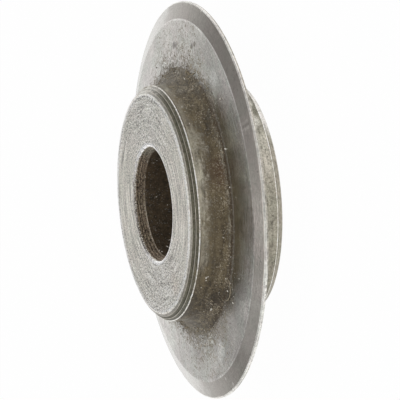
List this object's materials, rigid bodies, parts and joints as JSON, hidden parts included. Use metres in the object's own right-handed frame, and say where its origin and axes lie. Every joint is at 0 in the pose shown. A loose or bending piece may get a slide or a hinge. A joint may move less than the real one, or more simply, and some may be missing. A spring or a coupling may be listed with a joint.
{
  "type": "pipe cutter wheel",
  "caption": "One-piece steel cutting wheel: a thin disc with a bevelled, rounded cutting edge, equal hubs on both sides and a plain bore.",
  "frame": {"origin": "the wheel's centre: on the axis, halfway between the two hub faces and in the plane of the cutting edge", "axes": "+Z along the axis, towards the hub face that looks up; the wheel rests on its other hub face"},
  "size_m": [0.019, 0.019, 0.0046],
  "materials": {
    "tool_steel": "turned and ground, with brown grime in the roots and the bore"
  },
  "bodies": {
    "root": {"cutter_wheel": "tool_steel"}
  },
  "joints": []
}
